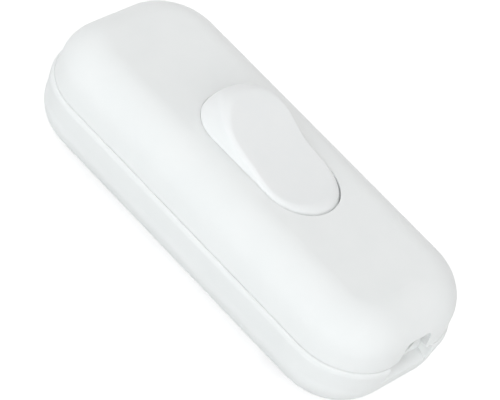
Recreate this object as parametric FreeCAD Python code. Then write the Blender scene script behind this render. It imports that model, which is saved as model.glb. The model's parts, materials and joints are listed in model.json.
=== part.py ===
"""Inline cord switch: two-shell housing, rocker, rocking contact, terminals and cord clamps."""
import FreeCAD, Part
import math
import os

V = FreeCAD.Vector
X_AXIS = V(1, 0, 0)
Y_AXIS = V(0, 1, 0)
Z_AXIS = V(0, 0, 1)

# Housing, outside
body_length = 70.0
body_width = 29.8
plan_corner_r = 10.3
base_height = 10.2
cover_height = 8.2
base_edge_rise = 6.25
base_edge_run = 7.0
base_draft = 0.37
rim_ledge = 0.4
rim_run = 0.38
rim_rise = 0.9
cover_edge_rise = 5.85
cover_edge_run = 6.3
cover_draft = 0.1

# Housing, inside
wall = 1.8
lip_height = 1.4
lip_thickness = 0.85
shell_gap = 0.1
skin = 0.6
seat_gap = 0.05
root = 0.5
lip_root = 2.5

# Rocker
rocker_length = 24.9
rocker_width = 12.94
rocker_gap = 0.08
pivot_drop = 3.6
rocker_tilt = 13.0
rocker_mid_height = 1.92
rocker_rise_height = 2.55
rocker_rise_inset = 6.45
rocker_lobe_height = 3.07
rocker_lobe_inset = 2.45
rocker_end_height = 0.6
rocker_end_overrun = 0.75
rocker_edge_r = 2.2
rocker_wall = 1.5
rocker_skirt = 1.6
roof_thickness = 2.4
trunnion_r = 1.5
trunnion_gap = 0.05
trunnion_length = 2.1
cheek_thickness = 1.9
cheek_half_length = 4.0
cheek_gap = 0.5
cheek_depth = 3.6

# Spring post, plunger and spring
post_r = 2.3
post_drop = 3.0
plunger_r = 1.2
plunger_gap = 0.08
plunger_reach = 6.0
plunger_guide = 2.4
spring_wire = 0.3
spring_turns = 6
spring_side_gap = 0.15
post_bore_top = 3.4

# Rocking contact
blade_tilt = 6.0
blade_slope = 7.0
blade_thickness = 0.6
blade_width = 4.2
blade_waist = 3.0
blade_waist_half = 0.9
blade_long_arm = 8.4
blade_short_arm = 5.2
blade_gap = 0.1
tip_r = 1.3
tip_thickness = 0.6
tip_place = 7.0
contact_gap = 0.05

# Terminal strips
strip_thickness = 0.8
strip_arm_width = 4.0
terminal_x = 14.6
terminal_pad = 6.0
live_y = 4.0
live_pad = 5.0
neutral_y = -5.35
neutral_width = 2.6
neutral_pad = 4.2
barrier_thickness = 0.7
barrier_height = 2.2
barrier_gap = 0.15
fulcrum_thickness = 0.8
fulcrum_gap = 0.05
ear_height = 1.2
ear_thickness = 0.6
ear_gap = 0.15
line_arm_end = 5.4
stop_tab_x = 4.2
stop_tab_half = 1.8
stake_x = 11.2
stake_r = 1.0
stake_gap = 0.08
stake_foot_half = 1.6
centre_post_half = 2.5
centre_post_reach = 5.5
screw_thread_r = 1.25
thread_gap = 0.05
relief_gap = 0.4
hole_gap = 0.15
screw_end_gap = 0.4
head_round = 0.4
terminal_head_r = 2.0
terminal_head_height = 1.6
screw_slot_width = 0.7
screw_slot_depth = 0.8
plate_thickness = 0.8
plate_size = 4.0
plate_corner_r = 0.8

# Cord inlets and clamps
inlet_depth = 2.1
throat_r = 2.7
throat_length = 2.0
throat_rise = 0.3
arch_half_width = 2.9
arch_top_half_width = 2.7
arch_height = 3.7
arch_corner_r = 0.9
arch_foot_r = 1.2
scoop_half_width = 4.75
scoop_drop = 5.0
scoop_crown = 0.55
inlet_block_side = 1.6
cover_block_drop = 3.0
clamp_inset = 8.8
clamp_width = 4.4
clamp_thickness = 2.4
clamp_screw_y = 5.3
clamp_boss_r = 2.0
clamp_boss_drop = 0.7
saddle_thickness = 1.8
saddle_drop = 0.6
clamp_bite_r = 2.5
clamp_corner_r = 1.2
clamp_arch_wall = 1.0
clamp_ridge = 0.6
clamp_ridge_bite = 0.4
clamp_ridge_root = 0.3
clamp_ridge_start = 0.8
clamp_screw_tip = 2.2

# Housing screws
housing_screw_end = 13.6
housing_screw_side = 4.95
housing_boss_r = 2.2
housing_head_r = 2.1
housing_head_height = 1.6
housing_head_sink = 2.6
housing_head_gap = 0.2
housing_foot_wall = 1.2
housing_tip_cover = 3.8
housing_shank_r = 1.25
base_hole_r = 1.45

# Worked-out levels
half_length = body_length / 2
half_width = body_width / 2
total_height = base_height + cover_height
floor_z = wall
cover_roof_z = total_height - wall
pivot_z = total_height - pivot_drop
plunger_nose_r = plunger_r
blade_top_z = pivot_z - plunger_reach - plunger_nose_r - blade_gap
blade_pivot_z = blade_top_z - blade_thickness
clamp_x = half_length - clamp_inset
clamp_reach = clamp_screw_y + clamp_boss_r
clamp_boss_top = base_height - clamp_boss_drop
clamp_screw_length = clamp_boss_top + clamp_thickness - floor_z - clamp_screw_tip
housing_screw_x = half_length - housing_screw_end
housing_screw_y = half_width - housing_screw_side
housing_screw_length = total_height - housing_head_sink - housing_tip_cover


def box(x0, x1, y0, y1, z0, z1):
    return Part.makeBox(x1 - x0, y1 - y0, z1 - z0, V(x0, y0, z0))


def cylinder(r, height, base, direction=Z_AXIS):
    return Part.makeCylinder(r, height, base, direction)


def quarter_ellipse(start, corner, end):
    """Exact quarter of an ellipse from start to end, tangent to the lines that meet at corner."""
    curve = Part.BezierCurve()
    curve.setPoles([start, corner, end])
    curve.setWeight(2, math.sqrt(0.5))
    return curve.toShape()


def fuse_all(shapes):
    first, rest = shapes[0], shapes[1:]
    return first.fuse(rest).removeSplitter() if rest else first


def pillow(half_x, half_y, corner_r, profile):
    """Solid with a rounded-rectangle plan; profile(r) gives the section's edges, r = reach from the corner."""
    cx, cy = half_x - corner_r, half_y - corner_r
    face = Part.Face(Part.Wire(profile(corner_r)))
    pieces = [box_between_profiles(face, cx, cy)]
    for turn, centre in ((0, V(cx, cy, 0)), (90, V(-cx, cy, 0)), (180, V(-cx, -cy, 0)), (270, V(cx, -cy, 0))):
        corner = face.copy()
        corner.rotate(V(0, 0, 0), Z_AXIS, turn)
        corner.translate(centre)
        pieces.append(corner.revolve(centre, Z_AXIS, 90))
    for turn, run, reach in ((0, 2 * cy, cx), (90, 2 * cx, cy), (180, 2 * cy, cx), (270, 2 * cx, cy)):
        side = face.copy()
        side.translate(V(reach, -run / 2, 0))
        side = side.extrude(V(0, run, 0))
        side.rotate(V(0, 0, 0), Z_AXIS, turn)
        pieces.append(side)
    return fuse_all(pieces)


def box_between_profiles(face, cx, cy):
    bounds = face.BoundBox
    return box(-cx, cx, -cy, cy, bounds.ZMin, bounds.ZMax)


def base_profile(bottom, top, run, rise, draft):
    """Section of the base: flat bottom, elliptical edge, drafted side."""
    def edges(r):
        knee = V(r - draft - run, 0, bottom)
        corner = V(r - draft, 0, bottom)
        side = V(r - draft, 0, bottom + rise)
        rim = V(r, 0, top - rim_rise)
        rim_in = V(r - rim_run, 0, top)
        return [
            Part.makeLine(V(0, 0, bottom), knee),
            quarter_ellipse(knee, corner, side),
            Part.makeLine(side, rim),
            quarter_ellipse(rim, V(r, 0, top), rim_in),
            Part.makeLine(rim_in, V(0, 0, top)),
            Part.makeLine(V(0, 0, top), V(0, 0, bottom)),
        ]
    return edges


def cover_profile(bottom, top, run, rise, draft):
    """Section of the cover: drafted side, elliptical shoulder, flat top."""
    def edges(r):
        foot = V(r, 0, bottom)
        side = V(r - draft, 0, top - rise)
        corner = V(r - draft, 0, top)
        knee = V(r - draft - run, 0, top)
        return [
            Part.makeLine(V(0, 0, bottom), foot),
            Part.makeLine(foot, side),
            quarter_ellipse(side, corner, knee),
            Part.makeLine(knee, V(0, 0, top)),
            Part.makeLine(V(0, 0, top), V(0, 0, bottom)),
        ]
    return edges


def plan_ring(inset_out, inset_in, z0, z1):
    """Straight band that follows the plan, between two insets from the base's outline."""
    outer = rounded_plan(inset_out, z0, z1)
    return outer.cut(rounded_plan(inset_in, z0 - 1, z1 + 1))


def rounded_plan(inset, z0, z1):
    """Vertical prism with the housing's plan, moved in by an inset."""
    hx, hy, r = half_length - inset, half_width - inset, plan_corner_r - inset
    return rounded_prism(hx, hy, r, z0, z1)


def rounded_prism(hx, hy, r, z0, z1):
    """Vertical prism on a rounded rectangle; r equal to hy gives a stadium."""
    pieces = [box(-hx + r, hx - r, -hy, hy, z0, z1)]
    if hy > r:
        pieces.append(box(-hx, hx, -hy + r, hy - r, z0, z1))
    for sx in (-1, 1):
        for sy in ((-1, 1) if hy > r else (0,)):
            pieces.append(cylinder(r, z1 - z0, V(sx * (hx - r), sy * (hy - r), z0)))
    return fuse_all(pieces)


def mirrored(shape):
    """The same shape at the other end of the housing, by half a turn about Z."""
    turned = shape.copy()
    turned.rotate(V(0, 0, 0), Z_AXIS, 180)
    return turned


def both_ends(shape):
    return [shape, mirrored(shape)]


# Cord inlet
def scoop_cut():
    """Sloped mouth of the inlet in the base: vertical sides and a floor that falls away outwards."""
    inner_x = half_length - inlet_depth
    inner_z = base_height + throat_rise - throat_r
    outer_z = base_height - scoop_drop
    far_x = half_length + 2
    mid = V((inner_x + half_length) / 2 + scoop_crown, 0, (inner_z + outer_z) / 2 + scoop_crown)
    floor = Part.Arc(V(inner_x, 0, inner_z), mid, V(half_length, 0, outer_z)).toShape()
    low = V(far_x, 0, outer_z - 3 * (far_x - half_length))
    high = V(far_x, 0, base_height + 1)
    back = V(inner_x, 0, base_height + 1)
    wire = Part.Wire([
        floor,
        Part.makeLine(V(half_length, 0, outer_z), low),
        Part.makeLine(low, high),
        Part.makeLine(high, back),
        Part.makeLine(back, V(inner_x, 0, inner_z)),
    ])
    cut = Part.Face(wire).extrude(V(0, 2 * scoop_half_width, 0))
    cut.translate(V(0, -scoop_half_width, 0))
    return cut


def arch_cut():
    """Arched mouth of the inlet in the cover, a little narrower at its top, with rounded feet."""
    low = base_height - 1
    top = base_height + arch_height
    foot = base_height + arch_foot_r
    outline = Part.makePolygon([
        V(0, -arch_half_width, low),
        V(0, arch_half_width, low),
        V(0, arch_half_width, foot),
        V(0, arch_top_half_width, top),
        V(0, -arch_top_half_width, top),
        V(0, -arch_half_width, foot),
        V(0, -arch_half_width, low),
    ])
    depth = inlet_depth + 2
    cut = Part.Face(outline).extrude(V(depth, 0, 0))
    corners = [e for e in cut.Edges if abs(e.BoundBox.XLength - depth) < 0.01 and e.BoundBox.ZMin > foot + 0.01]
    cut = cut.makeFillet(arch_corner_r, corners)
    reach = arch_half_width + arch_foot_r
    feet = box(0, depth, -reach, reach, low, foot)
    for sy in (-1, 1):
        feet = feet.cut(cylinder(arch_foot_r, depth, V(0, sy * reach, foot), X_AXIS))
    cut = cut.fuse(feet).removeSplitter()
    cut.translate(V(half_length - inlet_depth, 0, 0))
    return cut


def throat_cut():
    """Round hole for the cord, half in each shell."""
    length = throat_length + inlet_depth + 0.5
    return cylinder(throat_r, length, V(half_length - inlet_depth - length + 0.01, 0, base_height + throat_rise), X_AXIS)


def inlet_block(z0, z1):
    """Thick stretch of the end wall that holds the throat."""
    side = scoop_half_width + inlet_block_side
    inner = half_length - inlet_depth - throat_length
    return box(inner, half_length, -side, side, z0, z1)


# Shells
def base_outer():
    profile = base_profile(0, base_height, base_edge_run, base_edge_rise, base_draft)
    return pillow(half_length, half_width, plan_corner_r, profile)


def base_inner():
    profile = base_profile(floor_z, base_height + 2, base_edge_run - wall, base_edge_rise - wall, base_draft)
    return pillow(half_length - wall, half_width - wall, plan_corner_r - wall, profile)


def base_skin():
    """Limit for what is added inside the base, within the thickness of its wall."""
    profile = base_profile(skin, base_height + 2, base_edge_run - skin, base_edge_rise - skin, base_draft)
    return pillow(half_length - skin, half_width - skin, plan_corner_r - skin, profile)


def cover_outer():
    profile = cover_profile(base_height, total_height, cover_edge_run, cover_edge_rise, cover_draft)
    return pillow(half_length - rim_ledge, half_width - rim_ledge, plan_corner_r - rim_ledge, profile)


def cover_inner():
    inset = rim_ledge + wall
    profile = cover_profile(base_height - 1, cover_roof_z, cover_edge_run - wall, cover_edge_rise - wall, cover_draft)
    return pillow(half_length - inset, half_width - inset, plan_corner_r - inset, profile)


def cover_skin():
    """Limit for what is added inside the cover, within the thickness of its wall."""
    inset = rim_ledge + skin
    top = total_height - skin
    profile = cover_profile(base_height, top, cover_edge_run - skin, cover_edge_rise - skin, cover_draft)
    return pillow(half_length - inset, half_width - inset, plan_corner_r - inset, profile)


def terminal_places():
    return [(sx * terminal_x, y) for y in (live_y, neutral_y) for sx in (-1, 1)]


def strip_bottom():
    """Level that the terminal strips rest on, set by the closed contacts."""
    under_tip = blade_pivot_z + tip_place * math.sin(math.radians(blade_slope - blade_tilt))
    return under_tip - 2 * tip_thickness - contact_gap - strip_thickness


def pad_half(y):
    """Half width, across the housing, of the pad at a terminal."""
    return (live_pad if y > 0 else neutral_pad) / 2


def stop_top():
    """Top of the posts that the rocker's pressed end comes to rest on."""
    lean = math.radians(rocker_tilt)
    x = stake_x + stake_r
    drop = (x + rocker_skirt * math.sin(lean)) * math.tan(lean) + rocker_skirt * math.cos(lean)
    return pivot_z - drop - seat_gap


def base_pedestals():
    """Blocks that carry the strips, with relief holes for the screw ends, and the rocker's stop posts."""
    top = strip_bottom()
    low = floor_z - root
    half_x = terminal_pad / 2
    pieces = []
    for x, y in terminal_places():
        half_y = pad_half(y)
        block = box(x - half_x, x + half_x, y - half_y, y + half_y, low, top)
        pieces.append(block.cut(cylinder(screw_thread_r + relief_gap, top - floor_z + 1, V(x, y, floor_z))))
    arm = strip_arm_width / 2
    pieces.append(box(-centre_post_half, centre_post_reach, -arm, arm, low, top))
    pieces.append(box(-tip_place - tip_r, -line_arm_end, -arm, arm, low, top))
    half = neutral_width / 2
    pieces.append(box(-centre_post_half, centre_post_half, neutral_y - half, neutral_y + half, low, top))
    for x in (-stake_x, stake_x):
        pieces.append(box(x - stake_foot_half, x + stake_foot_half, -arm, arm, low, top))
        pieces.append(cylinder(stake_r, stop_top() - top, V(x, 0, top)))
    return pieces


def base_barrier():
    """Insulating rib between the switched and the straight-through conductor."""
    y = -ear_reach() - barrier_gap
    reach = terminal_x + terminal_pad / 2
    return box(-reach, reach, y - barrier_thickness, y, floor_z - root, strip_bottom() + barrier_height)


def ear_reach():
    """Outer face of the ears that keep the rocking contact on its knife edge."""
    return blade_waist / 2 + ear_gap + ear_thickness


def clamp_bosses():
    """Two screw bosses and the cord saddle between them, at the +X end."""
    low = floor_z - root
    saddle_half = clamp_screw_y
    half = saddle_thickness / 2
    saddle = box(clamp_x - half, clamp_x + half, -saddle_half, saddle_half, low, clamp_boss_top - saddle_drop)
    start = V(clamp_x - saddle_thickness, 0, base_height + throat_rise)
    saddle = saddle.cut(cylinder(throat_r, 2 * saddle_thickness, start, X_AXIS))
    pieces = [saddle]
    for sy in (-1, 1):
        place = V(clamp_x, sy * clamp_screw_y, low)
        boss = cylinder(clamp_boss_r, clamp_boss_top - low, place)
        pieces.append(boss)
    return pieces


def clamp_pilot_holes():
    low = floor_z + clamp_screw_tip - screw_end_gap
    depth = clamp_boss_top - low + 1
    return [cylinder(screw_thread_r + thread_gap, depth, V(clamp_x, sy * clamp_screw_y, low)) for sy in (-1, 1)]


def housing_places():
    return [(housing_screw_x, -housing_screw_y), (-housing_screw_x, housing_screw_y)]


def make_base_shell():
    outer = base_outer()
    shell = outer.cut(base_inner())
    lip_out = rim_ledge + wall - lip_thickness
    lip = plan_ring(lip_out, rim_ledge + wall, base_height - lip_root, base_height + lip_height)
    extras = [lip]
    extras += both_ends(inlet_block(floor_z - root, base_height))
    extras += base_pedestals()
    extras.append(base_barrier())
    for piece in clamp_bosses():
        extras += both_ends(piece)
    for x, y in housing_places():
        extras.append(cylinder(housing_boss_r, base_height - floor_z, V(x, y, floor_z)))
        foot_r = housing_head_r + housing_head_gap + housing_foot_wall
        foot_height = housing_head_sink + housing_foot_wall - skin
        extras.append(cylinder(foot_r, foot_height, V(x, y, skin)))
    limit = base_skin()
    extras = [e.common(limit) for e in extras]
    shell = shell.fuse(extras).removeSplitter()
    cuts = []
    side = scoop_half_width + inlet_block_side + shell_gap
    gap_block = box(half_length - inlet_depth - throat_length - 1, half_length, -side, side,
                    base_height, base_height + 5)
    for cut in (gap_block, scoop_cut(), throat_cut()):
        cuts += both_ends(cut)
    for hole in clamp_pilot_holes():
        cuts += both_ends(hole)
    for x, y in housing_places():
        cuts.append(cylinder(base_hole_r, base_height + 2, V(x, y, -1)))
        cuts.append(cylinder(housing_head_r + housing_head_gap, housing_head_sink + 1, V(x, y, -1)))
    return shell.cut(cuts)


def rocker_plan_profile(gap):
    """Half outline of the rocker that is turned about its pivot, so the gap stays even as it tilts."""
    half_y = rocker_width / 2 + gap
    straight = rocker_length / 2 - rocker_width / 2
    near = math.hypot(straight, pivot_drop)
    far = math.hypot(rocker_length / 2, pivot_drop) + gap
    return [
        Part.makeLine(V(0, -half_y, 0), V(near, -half_y, 0)),
        quarter_ellipse(V(near, -half_y, 0), V(far, -half_y, 0), V(far, 0, 0)),
        quarter_ellipse(V(far, 0, 0), V(far, half_y, 0), V(near, half_y, 0)),
        Part.makeLine(V(near, half_y, 0), V(0, half_y, 0)),
        Part.makeLine(V(0, half_y, 0), V(0, -half_y, 0)),
    ]


def rocker_envelope(gap):
    face = Part.Face(Part.Wire(rocker_plan_profile(gap)))
    wheel = face.revolve(V(0, 0, 0), Y_AXIS, 360)
    wheel.translate(V(0, 0, pivot_z))
    return wheel


def cheeks():
    """Bearing walls under the cover's top, slotted from below for the trunnions."""
    inner = rocker_width / 2 + cheek_gap
    pieces = []
    for sy in (-1, 1):
        y0, y1 = sorted((sy * inner, sy * (inner + cheek_thickness)))
        block = box(-cheek_half_length, cheek_half_length, y0, y1, pivot_z - cheek_depth, cover_roof_z + root)
        slot_r = trunnion_r + trunnion_gap
        slot = cylinder(slot_r, cheek_thickness + 2, V(0, y0 - 1, pivot_z), Y_AXIS)
        slot = slot.fuse(box(-slot_r * 0.86, slot_r * 0.86, y0 - 1, y1 + 1, pivot_z - cheek_depth - 1, pivot_z))
        pieces.append(block.cut(slot))
    return pieces


def make_cover_shell():
    outer = cover_outer()
    shell = outer.cut(cover_inner())
    extras = cheeks()
    bosses = both_ends(inlet_block(base_height + seat_gap, total_height - cover_block_drop))
    for x, y in housing_places():
        bottom = base_height + seat_gap
        bosses.append(cylinder(housing_boss_r, cover_roof_z - bottom + root, V(x, y, bottom)))
    limit = cover_skin()
    extras += [b.common(limit) for b in bosses]
    shell = shell.fuse(extras).removeSplitter()
    lip_out = rim_ledge + wall - lip_thickness - shell_gap
    rabbet = plan_ring(lip_out, rim_ledge + wall + 1, base_height - 1, base_height + lip_height + shell_gap)
    side = scoop_half_width + inlet_block_side
    keep = box(-half_length, half_length, -side, side, base_height - 2, base_height + 4)
    cuts = [rabbet.cut(keep), rocker_envelope(rocker_gap)]
    for cut in (arch_cut(), throat_cut()):
        cuts += both_ends(cut)
    for x, y in housing_places():
        top = housing_head_sink + housing_screw_length + screw_end_gap
        cuts.append(cylinder(housing_shank_r + thread_gap, top - base_height + 1, V(x, y, base_height - 1)))
    return shell.cut(cuts)


# Rocker and its spring plunger
def rocker_top_cut():
    """Everything above the rocker's wavy top, in its level position."""
    top = total_height
    half = rocker_length / 2
    reach = half + rocker_end_overrun
    rise = V(half - rocker_rise_inset, 0, top + rocker_rise_height)
    lobe = V(half - rocker_lobe_inset, 0, top + rocker_lobe_height)
    end = V(reach, 0, top + rocker_end_height)
    mirrored_points = [V(-p.x, 0, p.z) for p in (end, lobe, rise)]
    points = mirrored_points + [V(0, 0, top + rocker_mid_height), rise, lobe, end]
    curve = Part.BSplineCurve()
    curve.interpolate(points)
    high = top + 12
    wire = Part.Wire([
        curve.toShape(),
        Part.makeLine(end, V(reach, 0, high)),
        Part.makeLine(V(reach, 0, high), V(-reach, 0, high)),
        Part.makeLine(V(-reach, 0, high), points[0]),
    ])
    cut = Part.Face(wire).extrude(V(0, rocker_width + 4, 0))
    cut.translate(V(0, -rocker_width / 2 - 2, 0))
    return cut


def level_rocker():
    body = rocker_envelope(0.0)
    bottom = pivot_z - rocker_skirt
    reach = rocker_length
    body = body.cut(box(-reach, reach, -reach, reach, pivot_z - reach, bottom))
    body = body.cut(rocker_top_cut())
    crown = [e for e in body.Edges if e.BoundBox.ZMin > total_height - 1.0]
    body = body.makeFillet(rocker_edge_r, crown)
    inner_r = rocker_width / 2 - rocker_wall
    inner_x = rocker_length / 2 - rocker_wall
    ceiling = total_height + rocker_mid_height - roof_thickness
    pocket = rounded_prism(inner_x, inner_r, inner_r, bottom - 1, ceiling)
    body = body.cut(pocket)
    post = cylinder(post_r, ceiling + root - (pivot_z - post_drop), V(0, 0, pivot_z - post_drop))
    pins = []
    for sy in (-1, 1):
        start = V(0, sy * (rocker_width / 2 - rocker_wall / 2), pivot_z)
        pins.append(cylinder(trunnion_r, trunnion_length + rocker_wall / 2, start, V(0, sy, 0)))
    body = body.fuse([post] + pins).removeSplitter()
    bore = cylinder(plunger_r + plunger_gap, post_drop + post_bore_top + 1, V(0, 0, pivot_z - post_drop - 1))
    return body.cut(bore)


def tilt(shape):
    """Turns a piece of the rocker from its level position to the modelled one, +X end pressed."""
    turned = shape.copy()
    turned.rotate(V(0, 0, pivot_z), Y_AXIS, rocker_tilt)
    return turned


def level_plunger():
    nose_z = pivot_z - plunger_reach
    top = pivot_z - post_drop + plunger_guide
    body = cylinder(plunger_r, top - nose_z, V(0, 0, nose_z))
    nose = Part.makeSphere(plunger_nose_r, V(0, 0, nose_z))
    return body.fuse(nose).removeSplitter()


def level_spring():
    low = pivot_z - post_drop + plunger_guide + seat_gap
    high = pivot_z + post_bore_top - seat_gap
    coil_r = plunger_r - spring_side_gap - spring_wire / 2
    length = high - low - spring_wire
    helix = Part.makeHelix(length / spring_turns, length, coil_r)
    section = Part.Wire(Part.makeCircle(spring_wire / 2, V(coil_r, 0, 0), Y_AXIS))
    coil = Part.Wire(helix.Edges).makePipeShell([section], True, True)
    coil.translate(V(0, 0, low + spring_wire / 2))
    return coil


# Rocking contact
def rock(shape):
    turned = shape.copy()
    turned.rotate(V(0, 0, blade_pivot_z), Y_AXIS, -blade_tilt)
    return turned


def level_blade():
    """Shallow V blade with side notches where the fulcrum's ears pass."""
    rise = math.tan(math.radians(blade_slope))
    left, right = -blade_long_arm, blade_short_arm
    z = blade_pivot_z
    t = blade_thickness
    outline = Part.makePolygon([
        V(left, 0, z - left * rise), V(0, 0, z), V(right, 0, z + right * rise),
        V(right, 0, z + right * rise + t), V(0, 0, z + t), V(left, 0, z - left * rise + t),
        V(left, 0, z - left * rise),
    ])
    blade = Part.Face(outline).extrude(V(0, blade_width, 0))
    blade.translate(V(0, -blade_width / 2, 0))
    for sy in (-1, 1):
        y0, y1 = sorted((sy * blade_waist / 2, sy * blade_width))
        blade = blade.cut(box(-blade_waist_half, blade_waist_half, y0, y1, z - 2, z + 3))
    return blade


def level_moving_tip():
    z = blade_pivot_z + tip_place * math.tan(math.radians(blade_slope))
    tip = cylinder(tip_r, tip_thickness, V(0, 0, -tip_thickness))
    tip.rotate(V(0, 0, 0), Y_AXIS, blade_slope)
    tip.translate(V(-tip_place, 0, z))
    return tip


# Terminal strips
def strip(x_pad, x_end, low):
    """Flat strip: a terminal pad beside the centre line and an arm along it."""
    half_pad = terminal_pad / 2
    half_y = pad_half(live_y)
    arm = strip_arm_width / 2
    top = low + strip_thickness
    pad = box(x_pad - half_pad, x_pad + half_pad, live_y - half_y, live_y + half_y, low, top)
    x0, x1 = sorted((x_end, x_pad))
    flat = pad.fuse(box(x0, x1, -arm, arm, low, top)).removeSplitter()
    side = 1 if x_pad > 0 else -1
    holes = [
        cylinder(screw_thread_r + thread_gap, 3, V(x_pad, live_y, low - 1)),
        cylinder(stake_r + stake_gap, 3, V(side * stake_x, 0, low - 1)),
    ]
    return flat.cut(holes)


def make_common_contact():
    low = strip_bottom()
    half_t = fulcrum_thickness / 2
    flat = strip(terminal_x, -half_t, low)
    crest = blade_pivot_z - fulcrum_gap
    ear_out = ear_reach()
    tab = box(-half_t, half_t, -ear_out, ear_out, low, crest - half_t)
    edge = cylinder(half_t, 2 * ear_out, V(0, -ear_out, crest - half_t), Y_AXIS)
    pieces = [tab, edge]
    for sy in (-1, 1):
        y0, y1 = sorted((sy * (ear_out - ear_thickness), sy * ear_out))
        pieces.append(box(-half_t, half_t, y0, y1, low, crest + ear_height))
    rest = crest + stop_tab_x * math.tan(math.radians(blade_slope - blade_tilt))
    pieces.append(box(stop_tab_x, stop_tab_x + strip_thickness, -stop_tab_half, stop_tab_half, low, rest))
    return flat.fuse(pieces).removeSplitter()


def make_line_contact():
    return strip(-terminal_x, -line_arm_end, strip_bottom())


def make_fixed_tip():
    return cylinder(tip_r, tip_thickness, V(-tip_place, 0, strip_bottom() + strip_thickness))


def make_neutral_link():
    low = strip_bottom()
    top = low + strip_thickness
    half = neutral_width / 2
    half_pad = terminal_pad / 2
    bar = box(-terminal_x, terminal_x, neutral_y - half, neutral_y + half, low, top)
    pads = []
    holes = []
    for x in (-terminal_x, terminal_x):
        half_y = pad_half(neutral_y)
        pads.append(box(x - half_pad, x + half_pad, neutral_y - half_y, neutral_y + half_y, low, top))
        holes.append(cylinder(screw_thread_r + thread_gap, 3, V(x, neutral_y, low - 1)))
    return bar.fuse(pads).removeSplitter().cut(holes)


# Fasteners
def slotted_screw(shank_r, length, head_r, head_height):
    """Pan-head screw, head's seat at z = 0, shank down; one screwdriver slot."""
    shank = cylinder(shank_r, length, V(0, 0, -length))
    head = cylinder(head_r, head_height, V(0, 0, 0))
    rim = [e for e in head.Edges if e.BoundBox.ZMin > head_height - 0.01]
    head = head.makeFillet(head_height * head_round, rim)
    slot = box(-head_r, head_r, -screw_slot_width / 2, screw_slot_width / 2,
               head_height - screw_slot_depth, head_height + 1)
    return shank.fuse(head).removeSplitter().cut(slot)


def make_terminal_screw(x, y):
    seat = strip_bottom() + strip_thickness + plate_thickness
    screw = slotted_screw(screw_thread_r, seat - floor_z - screw_end_gap, terminal_head_r, terminal_head_height)
    screw.rotate(V(0, 0, 0), Z_AXIS, 7.0 * (x + y))
    screw.translate(V(x, y, seat))
    return screw


def make_wire_plate(x, y):
    low = strip_bottom() + strip_thickness
    half = plate_size / 2
    plate = box(x - half, x + half, y - half, y + half, low, low + plate_thickness)
    corners = [e for e in plate.Edges if e.BoundBox.ZLength > plate_thickness - 0.01]
    plate = plate.makeFillet(plate_corner_r, corners)
    return plate.cut(cylinder(screw_thread_r + hole_gap, 3, V(x, y, low - 1)))


def make_cord_clamp():
    """Clamp bar at the +X end: arched over the cord, with a ridge inside that bites on its sheath."""
    low = clamp_boss_top
    half = clamp_width / 2
    axis_z = base_height + throat_rise
    bar = box(clamp_x - half, clamp_x + half, -clamp_reach, clamp_reach, low, low + clamp_thickness)
    uprights = [e for e in bar.Edges if abs(e.BoundBox.ZLength - clamp_thickness) < 0.01]
    bar = bar.makeFillet(clamp_corner_r, uprights)
    centre = V(clamp_x - half, 0, axis_z)
    arch_r = clamp_bite_r + clamp_arch_wall
    above = box(clamp_x - half, clamp_x + half, -arch_r, arch_r, low, axis_z + arch_r + 1)
    arch = cylinder(arch_r, clamp_width, centre, X_AXIS).common(above)
    bar = bar.fuse(arch)
    bar = bar.cut(cylinder(clamp_bite_r, clamp_width, centre, X_AXIS))
    start = V(clamp_x - clamp_ridge / 2, 0, axis_z)
    ridge = cylinder(clamp_bite_r + clamp_ridge_root, clamp_ridge, start, X_AXIS)
    ridge = ridge.cut(cylinder(clamp_bite_r - clamp_ridge_bite, clamp_ridge, start, X_AXIS))
    ridge_z = axis_z + clamp_ridge_start
    ridge = ridge.common(box(clamp_x - half, clamp_x + half, -arch_r, arch_r, ridge_z, axis_z + arch_r))
    bar = bar.fuse(ridge).removeSplitter()
    hole_r = screw_thread_r + hole_gap
    holes = [cylinder(hole_r, 6, V(clamp_x, sy * clamp_screw_y, low - 1)) for sy in (-1, 1)]
    return bar.cut(holes)


def make_clamp_screw(sx, sy):
    screw = slotted_screw(screw_thread_r, clamp_screw_length, terminal_head_r, terminal_head_height)
    screw.rotate(V(0, 0, 0), Z_AXIS, 25.0 * sx + 40.0 * sy)
    screw.translate(V(sx * clamp_x, sy * clamp_screw_y, clamp_boss_top + clamp_thickness))
    return screw


def make_housing_screw(x, y):
    screw = slotted_screw(housing_shank_r, housing_screw_length, housing_head_r, housing_head_height)
    screw.rotate(V(0, 0, 0), X_AXIS, 180)
    screw.rotate(V(0, 0, 0), Z_AXIS, 30.0 + x)
    screw.translate(V(x, y, housing_head_sink))
    return screw


def make_parts():
    parts = {
        "base_shell": make_base_shell(),
        "cover_shell": make_cover_shell(),
        "rocker": tilt(level_rocker()),
        "spring_plunger": tilt(level_plunger()),
        "rocker_spring": tilt(level_spring()),
        "moving_contact": rock(level_blade()),
        "moving_contact_tip": rock(level_moving_tip()),
        "common_contact": make_common_contact(),
        "line_contact": make_line_contact(),
        "fixed_contact_tip": make_fixed_tip(),
        "neutral_link": make_neutral_link(),
    }
    terminals = ("line", "common", "neutral_far", "neutral_near")
    for name, (x, y) in zip(terminals, terminal_places()):
        parts["wire_plate_" + name] = make_wire_plate(x, y)
    parts["terminal_screws"] = Part.makeCompound([make_terminal_screw(x, y) for x, y in terminal_places()])
    for name, bar in zip(("near", "far"), both_ends(make_cord_clamp())):
        parts["cord_clamp_" + name] = bar
    corners = [(sx, sy) for sx in (-1, 1) for sy in (-1, 1)]
    parts["clamp_screws"] = Part.makeCompound([make_clamp_screw(sx, sy) for sx, sy in corners])
    parts["housing_screws"] = Part.makeCompound([make_housing_screw(x, y) for x, y in housing_places()])
    return parts


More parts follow.
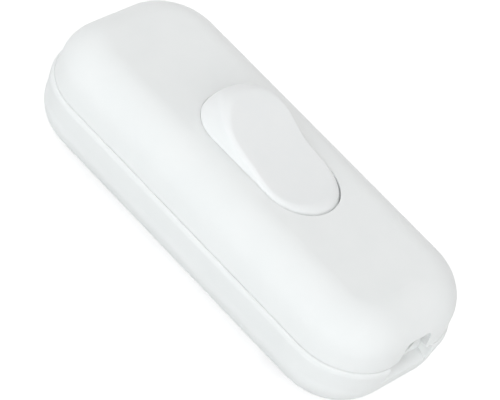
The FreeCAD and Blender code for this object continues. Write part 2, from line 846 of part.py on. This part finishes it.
os.makedirs("parts", exist_ok=True)
for node, shape in make_parts().items():
    shape.exportStep("parts/%s.step" % node)
    bounds = shape.BoundBox
    print("%-20s solids %d valid %s volume %9.2f  x %7.2f %7.2f  y %7.2f %7.2f  z %6.2f %6.2f" % (
        node, len(shape.Solids), shape.isValid(), shape.Volume,
        bounds.XMin, bounds.XMax, bounds.YMin, bounds.YMax, bounds.ZMin, bounds.ZMax))
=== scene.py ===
import json
import math

import bmesh
import bpy
from mathutils import Matrix, Vector


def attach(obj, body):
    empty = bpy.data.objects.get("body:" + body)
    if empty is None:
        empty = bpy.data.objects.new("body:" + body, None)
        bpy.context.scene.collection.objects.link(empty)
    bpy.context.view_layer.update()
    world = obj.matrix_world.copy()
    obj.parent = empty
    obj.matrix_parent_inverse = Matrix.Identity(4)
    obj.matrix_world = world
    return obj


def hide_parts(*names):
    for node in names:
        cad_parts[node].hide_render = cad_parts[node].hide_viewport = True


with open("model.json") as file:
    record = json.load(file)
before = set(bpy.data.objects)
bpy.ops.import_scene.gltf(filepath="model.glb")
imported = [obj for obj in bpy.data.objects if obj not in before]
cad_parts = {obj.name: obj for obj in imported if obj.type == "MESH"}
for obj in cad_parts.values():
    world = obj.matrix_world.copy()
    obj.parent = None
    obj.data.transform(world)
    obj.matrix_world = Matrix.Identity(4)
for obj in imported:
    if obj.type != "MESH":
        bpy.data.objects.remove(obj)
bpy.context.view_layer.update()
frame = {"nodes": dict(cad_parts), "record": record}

MM = 0.001
record = frame["record"]

# Materials
MOTTLE_SCALE = 160.0
GRAIN_SCALE = 9000.0
PLASTIC_DETAIL = 2.0
METAL_DETAIL = 4.0
GRAIN_DEPTH = 0.02 * MM
MOTTLE_BUMP = 0.3
PLASTIC_IOR = 1.5
PLASTIC_SPECULAR = 0.3
LIGHT_INTO_PLASTIC = 0.6
LIGHT_DEPTH = 0.4 * MM
METAL_BUMP = 0.15
METAL_DEPTH = 0.03 * MM
METAL_GLOSS_SPREAD = (0.8, 1.25)
RAMP_START = 0.35
RAMP_END = 0.65


def new_material(name):
    material = bpy.data.materials.new(name)
    material.use_nodes = True
    tree = material.node_tree
    return material, tree, tree.nodes["Principled BSDF"]


def noise(tree, scale, detail, stretch=None):
    """Noise in the part's own coordinates, so it stays on the piece as it moves."""
    place = tree.nodes.new("ShaderNodeTexCoord").outputs["Object"]
    if stretch:
        mapping = tree.nodes.new("ShaderNodeMapping")
        mapping.inputs["Scale"].default_value = stretch
        tree.links.new(place, mapping.inputs["Vector"])
        place = mapping.outputs["Vector"]
    texture = tree.nodes.new("ShaderNodeTexNoise")
    texture.inputs["Scale"].default_value = scale
    texture.inputs["Detail"].default_value = detail
    tree.links.new(place, texture.inputs["Vector"])
    return texture.outputs["Fac"]


def vary_color(tree, shader, factor, low, high):
    """Base colour that runs from low to high with the factor."""
    ramp = tree.nodes.new("ShaderNodeValToRGB")
    ramp.color_ramp.elements[0].position = RAMP_START
    ramp.color_ramp.elements[1].position = RAMP_END
    ramp.color_ramp.elements[0].color = (*low, 1)
    ramp.color_ramp.elements[1].color = (*high, 1)
    tree.links.new(factor, ramp.inputs["Fac"])
    tree.links.new(ramp.outputs["Color"], shader.inputs["Base Color"])


def vary_roughness(tree, shader, factor, low, high):
    """Roughness that runs from low to high with the factor."""
    spread = tree.nodes.new("ShaderNodeMapRange")
    spread.inputs["To Min"].default_value = low
    spread.inputs["To Max"].default_value = high
    tree.links.new(factor, spread.inputs["Value"])
    tree.links.new(spread.outputs["Result"], shader.inputs["Roughness"])


def add_bump(tree, shader, heights, strength, distance):
    """Bump from several height outputs, one on top of another."""
    normal = None
    for height, share in heights:
        bump = tree.nodes.new("ShaderNodeBump")
        bump.inputs["Strength"].default_value = strength * share
        bump.inputs["Distance"].default_value = distance
        tree.links.new(height, bump.inputs["Height"])
        if normal:
            tree.links.new(normal, bump.inputs["Normal"])
        normal = bump.outputs["Normal"]
    tree.links.new(normal, shader.inputs["Normal"])


def moulded_plastic(name, low, high, roughness, grain):
    """Injection-moulded plastic: faint mottling, slow changes of gloss and a fine mould grain."""
    material, tree, shader = new_material(name)
    mottle = noise(tree, MOTTLE_SCALE, PLASTIC_DETAIL)
    fine = noise(tree, GRAIN_SCALE, PLASTIC_DETAIL)
    vary_color(tree, shader, mottle, low, high)
    vary_roughness(tree, shader, mottle, *roughness)
    shader.inputs["IOR"].default_value = PLASTIC_IOR
    shader.inputs["Specular IOR Level"].default_value = PLASTIC_SPECULAR
    shader.inputs["Subsurface Weight"].default_value = LIGHT_INTO_PLASTIC
    shader.inputs["Subsurface Radius"].default_value = (1, 1, 1)
    shader.inputs["Subsurface Scale"].default_value = LIGHT_DEPTH
    add_bump(tree, shader, [(fine, 1.0), (mottle, MOTTLE_BUMP)], grain, GRAIN_DEPTH)
    return material


def worn_metal(name, low, high, roughness, stretch, scale):
    """Metal with drawn or plated streaks."""
    material, tree, shader = new_material(name)
    streaks = noise(tree, scale, METAL_DETAIL, stretch)
    vary_color(tree, shader, streaks, low, high)
    shader.inputs["Metallic"].default_value = 1.0
    vary_roughness(tree, shader, streaks, *(roughness * share for share in METAL_GLOSS_SPREAD))
    add_bump(tree, shader, [(streaks, 1.0)], METAL_BUMP, METAL_DEPTH)
    return material


rocker_white = moulded_plastic(
    "rocker_white", (0.85, 0.86, 0.86), (0.865, 0.87, 0.87), (0.50, 0.58), 0.18)
slot_look = {
    "white_shell": moulded_plastic(
        "shell_white", (0.86, 0.872, 0.868), (0.875, 0.885, 0.88), (0.48, 0.56), 0.25),
    "white_rocker": rocker_white,
    "nylon": moulded_plastic(
        "nylon", (0.62, 0.60, 0.55), (0.68, 0.66, 0.61), (0.5, 0.6), 0.4),
    "brass": worn_metal(
        "brass", (0.62, 0.43, 0.16), (0.78, 0.58, 0.27), 0.32, (1, 6, 1), 900.0),
    "zinc_steel": worn_metal(
        "zinc_steel", (0.52, 0.53, 0.55), (0.68, 0.69, 0.71), 0.34, (1, 1, 1), 1400.0),
    "silver_contact": worn_metal(
        "silver_contact", (0.66, 0.65, 0.63), (0.80, 0.79, 0.77), 0.28, (1, 1, 1), 1200.0),
    "spring_steel": worn_metal(
        "spring_steel", (0.40, 0.40, 0.42), (0.55, 0.55, 0.57), 0.3, (1, 1, 5), 1500.0),
}

for part in record["subparts"]:
    node = frame["nodes"][part["node"]]
    node.data.materials.clear()
    node.data.materials.append(slot_look[part["material_slot"]])


# Rocker
# Sizes in mm, in the rocker's level position, from its pivot. At rest the +X end is pressed.
pivot = next(
    joint for joint in record["behaviour"]["joints"] if joint["name"] == "rocker_pivot")
PIVOT = Vector(pivot["pos_m"])
TILT = math.radians(-min(pivot["range_deg"]) / 2)
HALF_LENGTH = 12.5
HALF_WIDTH = 6.545
COVER_TOP = 3.6
SIDE_LEAN = 0.35
LEAN_RUN = 0.9
SIDE_EDGE_R = 0.75
PRESSED_END_R = 1.8
RAISED_END_R = 1.4
SHELL = 1.5
SKIRT = -1.6
CEILING = 2.6
CEILING_ROUND = 0.8
CREST_INSET = 1.0
SIDE_LEVELS = (SKIRT, -0.5, 1.0, 2.0)
POST_R = 2.3
POST_BORE_R = 1.28
POST_FOOT = -3.0
POST_TOP = 2.7
PIN_R = 1.5
PIN_ROOT = 5.5
PIN_END = 8.57
PIN_CHAMFER = (0.15, 0.17)
# Heights of the top at distances from the middle
PRESSED_TOP = ((0.0, 5.1), (6.0, 5.58), (10.0, 6.45), (13.2, 7.3))
RAISED_TOP = ((0.0, 5.1), (6.0, 5.8), (10.0, 6.35), (13.2, 3.9))

STRAIGHT = HALF_LENGTH - HALF_WIDTH
STRAIGHT_TURN_R = math.hypot(STRAIGHT, COVER_TOP)
END_TURN_R = math.hypot(HALF_LENGTH, COVER_TOP)
QUARTER = math.radians(90)
SHARP_ANGLE = math.radians(35)
ARC_STEPS = 20
STRAIGHT_STEPS = 12
EDGE_STEPS = 10
TOP_STEPS = 16
CIRCLE_STEPS = 48
HEIGHT_ROUNDS = 8
CEILING_SHARES = (0.0, 0.5, 0.9)
LEAN_SHARES = (0.0, 0.33, 0.67)
WELD = 0.002


def top_height(x):
    """Height of the wavy top, by Lagrange in x squared through the stations of that end."""
    stations = PRESSED_TOP if x > 0 else RAISED_TOP
    total = 0.0
    for i, (xi, zi) in enumerate(stations):
        share = zi
        for j, (xj, _) in enumerate(stations):
            if j != i:
                share *= (x * x - xj * xj) / (xi * xi - xj * xj)
        total += share
    return total


def places_round():
    """Side signs, angle and share of the straight for the points round the rocker's plan."""
    arc = [QUARTER * i / ARC_STEPS for i in range(ARC_STEPS + 1)]
    run = [1 - i / STRAIGHT_STEPS for i in range(1, 2 * STRAIGHT_STEPS)]
    places = [(1, 1, a, 1.0) for a in arc] + [(1, 1, QUARTER, f) for f in run]
    places += [(-1, 1, a, 1.0) for a in reversed(arc)] + [(-1, -1, a, 1.0) for a in arc[1:]]
    places += [(1, -1, QUARTER, -f) for f in run]
    places += [(1, -1, a, 1.0) for a in reversed(arc[1:])]
    return places


def side_point(place, inset, z):
    """Point on the side; the ends are turned about the pivot, so the gap stays even."""
    sx, sy, angle, share = place
    r = STRAIGHT_TURN_R + (END_TURN_R - STRAIGHT_TURN_R - inset) * math.cos(angle)
    x = math.sqrt(max(r * r - z * z, 0.0))
    return Vector((sx * share * x, sy * (HALF_WIDTH - inset) * math.sin(angle), z))


def top_point(place, inset, drop):
    """Point under the top by drop, found by a few rounds of setting its height."""
    z = top_height(0.0)
    for _ in range(HEIGHT_ROUNDS):
        z = top_height(side_point(place, inset, z).x) - drop
    return side_point(place, inset, z)


def edge_sizes(place):
    """Lean of the side, where it starts, and the edge's radius, which grows to the ends.

    The lean never starts below the cover's face, so the gap stays closed there.
    """
    end = math.cos(place[2])
    end_r = PRESSED_END_R if place[0] > 0 else RAISED_END_R
    r = SIDE_EDGE_R + (end_r - SIDE_EDGE_R) * end
    foot = top_point(place, 0.0, r)
    cover_face = (COVER_TOP + abs(foot.x) * math.sin(TILT)) / math.cos(TILT)
    start = min(foot.z, max(foot.z - LEAN_RUN, cover_face))
    return SIDE_LEAN * (1 - end) * (foot.z - start) / LEAN_RUN, start, r


def edge_point(place, turn):
    """Point on the rounded edge, from the side (0) to the top (a quarter turn)."""
    lean, _, r = edge_sizes(place)
    return top_point(place, lean + r * (1 - math.cos(turn)), r * (1 - math.sin(turn)))


def leaning_point(place, step):
    """Point on the leaning stretch of the side, just under the rounded edge."""
    lean, start, _ = edge_sizes(place)
    return side_point(place, lean * step, start + (edge_point(place, 0.0).z - start) * step)


def toward_middle(point, share, height):
    """Point moved towards the plan's middle line; height(x) gives its level."""
    half = STRAIGHT - CREST_INSET
    middle = max(-half, min(half, point.x))
    x = middle + share * (point.x - middle)
    return Vector((x, share * point.y, height(x)))


def rocker_rings():
    """Rings from the middle of the ceiling, under the skirt, up the side and over the top."""
    places = places_round()
    inner = [side_point(p, SHELL, SKIRT) for p in places]
    rings = [
        [toward_middle(p, share, lambda x: CEILING) for p in inner] for share in CEILING_SHARES]
    rings.append([Vector((p.x, p.y, CEILING - CEILING_ROUND)) for p in inner])
    rings.append(inner)
    for z in SIDE_LEVELS:
        rings.append([side_point(p, 0.0, z) for p in places])
    for share in LEAN_SHARES:
        rings.append([leaning_point(p, share) for p in places])
    for step in range(EDGE_STEPS + 1):
        rings.append([edge_point(p, QUARTER * step / EDGE_STEPS) for p in places])
    rim = rings[-1]
    for step in range(1, TOP_STEPS + 1):
        rings.append([toward_middle(p, 1 - step / TOP_STEPS, top_height) for p in rim])
    return rings


def circle_rings(profile, turn):
    """Rings round an axis from (radius, height) pairs, placed by a matrix."""
    around = [math.radians(360) * i / CIRCLE_STEPS for i in range(CIRCLE_STEPS)]
    return [
        [turn @ Vector((r * math.cos(a), r * math.sin(a), h)) for a in around] for r, h in profile]


def add_rings(mesh, rings):
    """Faces between each ring of points and the next."""
    rows = [[mesh.verts.new(p) for p in ring] for ring in rings]
    count = len(rows[0])
    for low, high in zip(rows, rows[1:]):
        for i in range(count):
            j = (i + 1) % count
            mesh.faces.new((low[i], low[j], high[j], high[i]))


def make_rocker():
    """Rocker: closely fitting sides, a rounded edge, a wavy top, two pins and a spring post."""
    mesh = bmesh.new()
    add_rings(mesh, rocker_rings())
    post = [
        (POST_BORE_R, CEILING),
        (POST_BORE_R, POST_FOOT),
        (POST_R, POST_FOOT),
        (POST_R, POST_TOP),
    ]
    add_rings(mesh, circle_rings(post, Matrix()))
    pin = [
        (PIN_R, PIN_ROOT),
        (PIN_R, PIN_END - PIN_CHAMFER[1]),
        (PIN_R - PIN_CHAMFER[0], PIN_END),
        (0.0, PIN_END),
    ]
    for side in (-1, 1):
        add_rings(mesh, circle_rings(pin, Matrix.Rotation(-side * QUARTER, 4, "X")))
    bmesh.ops.remove_doubles(mesh, verts=mesh.verts, dist=WELD)
    bmesh.ops.recalc_face_normals(mesh, faces=mesh.faces)
    turn = Matrix.Rotation(TILT, 4, "Y")
    mesh.transform(Matrix.Translation(PIVOT) @ turn @ Matrix.Scale(MM, 4))
    data = bpy.data.meshes.new("rocker_detail")
    mesh.to_mesh(data)
    mesh.free()
    data.shade_smooth()
    data.set_sharp_from_angle(angle=SHARP_ANGLE)
    data.materials.append(rocker_white)
    rocker = bpy.data.objects.new("rocker_detail", data)
    bpy.context.scene.collection.objects.link(rocker)
    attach(rocker, "rocker")
    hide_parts("rocker")


make_rocker()

# Floor
FLOOR_SIZE = 3.0
# A hair under the part, so that the two faces don't share a plane
FLOOR_DROP = 0.02 * MM
FLOOR_GLOW = 0.62
FLOOR_TONES = ((0.56, 0.56, 0.56), (0.58, 0.58, 0.58))
FLOOR_MOTTLE = 40.0
FLOOR_DETAIL = 3.0
FLOOR_ROUGHNESS = 0.9


def math_node(tree, operation, first, second):
    """Math on two inputs, each a socket or a number."""
    node = tree.nodes.new("ShaderNodeMath")
    node.operation = operation
    for socket, value in zip(node.inputs, (first, second)):
        if isinstance(value, (int, float)):
            socket.default_value = value
        else:
            tree.links.new(value, socket)
    return node.outputs[0]


def plain_rays(tree):
    """1 for rays that should see a plain white background, 0 for those that carry light."""
    ray = tree.nodes.new("ShaderNodeLightPath")
    seen = math_node(tree, "MAXIMUM", ray.outputs["Is Camera Ray"], ray.outputs["Is Glossy Ray"])
    return math_node(tree, "MAXIMUM", seen, ray.outputs["Is Transmission Ray"])


def make_floor():
    """White floor: it shows the camera plain white, and keeps the shadow of the part on it."""
    bpy.ops.mesh.primitive_plane_add(size=FLOOR_SIZE, location=(0, 0, -FLOOR_DROP))
    floor = bpy.context.object
    floor.name = "floor"
    material, tree, shader = new_material("floor_white")
    vary_color(tree, shader, noise(tree, FLOOR_MOTTLE, FLOOR_DETAIL), *FLOOR_TONES)
    shader.inputs["Roughness"].default_value = FLOOR_ROUGHNESS
    shader.inputs["Emission Color"].default_value = (1, 1, 1, 1)
    glow = math_node(tree, "MULTIPLY", plain_rays(tree), FLOOR_GLOW)
    tree.links.new(glow, shader.inputs["Emission Strength"])
    floor.data.materials.append(material)


make_floor()

# Light
COOL = (0.97, 1.0, 1.01)
WHITE = (1, 1, 1)
# azimuth, height, sharpness, strength, colour
PANELS = [
    (20, 5, 4, 2.9, COOL),
    (315, 5, 4, 1.0, COOL),
    (90, 5, 4, 1.0, WHITE),
    (135, 40, 4, 1.05, WHITE),
    (250, 40, 4, 1.4, WHITE),
]


def direction(azimuth, height):
    """Unit vector for angles in degrees; azimuth is counted from -Y towards +X."""
    around, rise = math.radians(azimuth), math.radians(height)
    level = math.cos(rise)
    return Vector((math.sin(around) * level, -math.cos(around) * level, math.sin(rise)))


def soft_panel(tree, view, azimuth, height, sharpness, strength, color):
    """Broad patch of light in the surroundings, brightest in one direction."""
    facing = tree.nodes.new("ShaderNodeVectorMath")
    facing.operation = "DOT_PRODUCT"
    facing.inputs[1].default_value = direction(azimuth, height)
    tree.links.new(view, facing.inputs[0])
    kept = math_node(tree, "MAXIMUM", facing.outputs["Value"], 0.0)
    shaped = math_node(tree, "POWER", kept, sharpness)
    tinted = tree.nodes.new("ShaderNodeVectorMath")
    tinted.operation = "SCALE"
    tinted.inputs[0].default_value = color
    tree.links.new(math_node(tree, "MULTIPLY", shaped, strength), tinted.inputs["Scale"])
    return tinted.outputs[0]


def add_up(tree, colors):
    """Sum of several colour outputs."""
    total = colors[0]
    for color in colors[1:]:
        both = tree.nodes.new("ShaderNodeVectorMath")
        tree.links.new(total, both.inputs[0])
        tree.links.new(color, both.inputs[1])
        total = both.outputs[0]
    return total


def make_world():
    """Studio surroundings: broad soft panels round the part, plain white to the camera."""
    world = bpy.data.worlds.new("studio")
    bpy.context.scene.world = world
    world.use_nodes = True
    tree = world.node_tree
    background = tree.nodes["Background"]
    background.inputs["Strength"].default_value = 1.0
    view = tree.nodes.new("ShaderNodeTexCoord").outputs["Generated"]
    panels = [soft_panel(tree, view, *panel) for panel in PANELS]
    tree.links.new(add_up(tree, panels), background.inputs["Color"])
    plain = tree.nodes.new("ShaderNodeBackground")
    plain.inputs["Color"].default_value = (1, 1, 1, 1)
    either = tree.nodes.new("ShaderNodeMixShader")
    tree.links.new(plain_rays(tree), either.inputs["Fac"])
    tree.links.new(background.outputs[0], either.inputs[1])
    tree.links.new(plain.outputs[0], either.inputs[2])
    tree.links.new(either.outputs[0], tree.nodes["World Output"].inputs["Surface"])


make_world()

# Camera
CAMERA_AZIMUTH = 25.469
CAMERA_HEIGHT = 41.286
CAMERA_ROLL = math.radians(28.31)
CAMERA_DISTANCE = 465.85 * MM
CAMERA_SHIFT = (-0.05 * MM, -1.291 * MM)
CAMERA_AIM = Vector((0, 0, 10.2 * MM))
CAMERA_LENS = 230.64
CAMERA_SENSOR = 36.0
CAMERA_CLIP = 0.05


def make_camera():
    """Long lens from the near end, rolled and shifted as in the photograph."""
    back = direction(CAMERA_AZIMUTH, CAMERA_HEIGHT)
    around = math.radians(CAMERA_AZIMUTH)
    right = Vector((math.cos(around), math.sin(around), 0))
    up = back.cross(right)
    rolled_right = math.cos(CAMERA_ROLL) * right + math.sin(CAMERA_ROLL) * up
    rolled_up = -math.sin(CAMERA_ROLL) * right + math.cos(CAMERA_ROLL) * up
    place = CAMERA_AIM + back * CAMERA_DISTANCE
    place += rolled_right * CAMERA_SHIFT[0] + rolled_up * CAMERA_SHIFT[1]
    data = bpy.data.cameras.new("camera")
    data.sensor_width = CAMERA_SENSOR
    data.lens = CAMERA_LENS
    data.clip_start = CAMERA_CLIP
    camera = bpy.data.objects.new("camera", data)
    bpy.context.scene.collection.objects.link(camera)
    turn = Matrix((rolled_right, rolled_up, back)).transposed().to_4x4()
    camera.matrix_world = Matrix.Translation(place) @ turn
    bpy.context.scene.camera = camera


make_camera()
bpy.context.scene.view_settings.view_transform = "Standard"
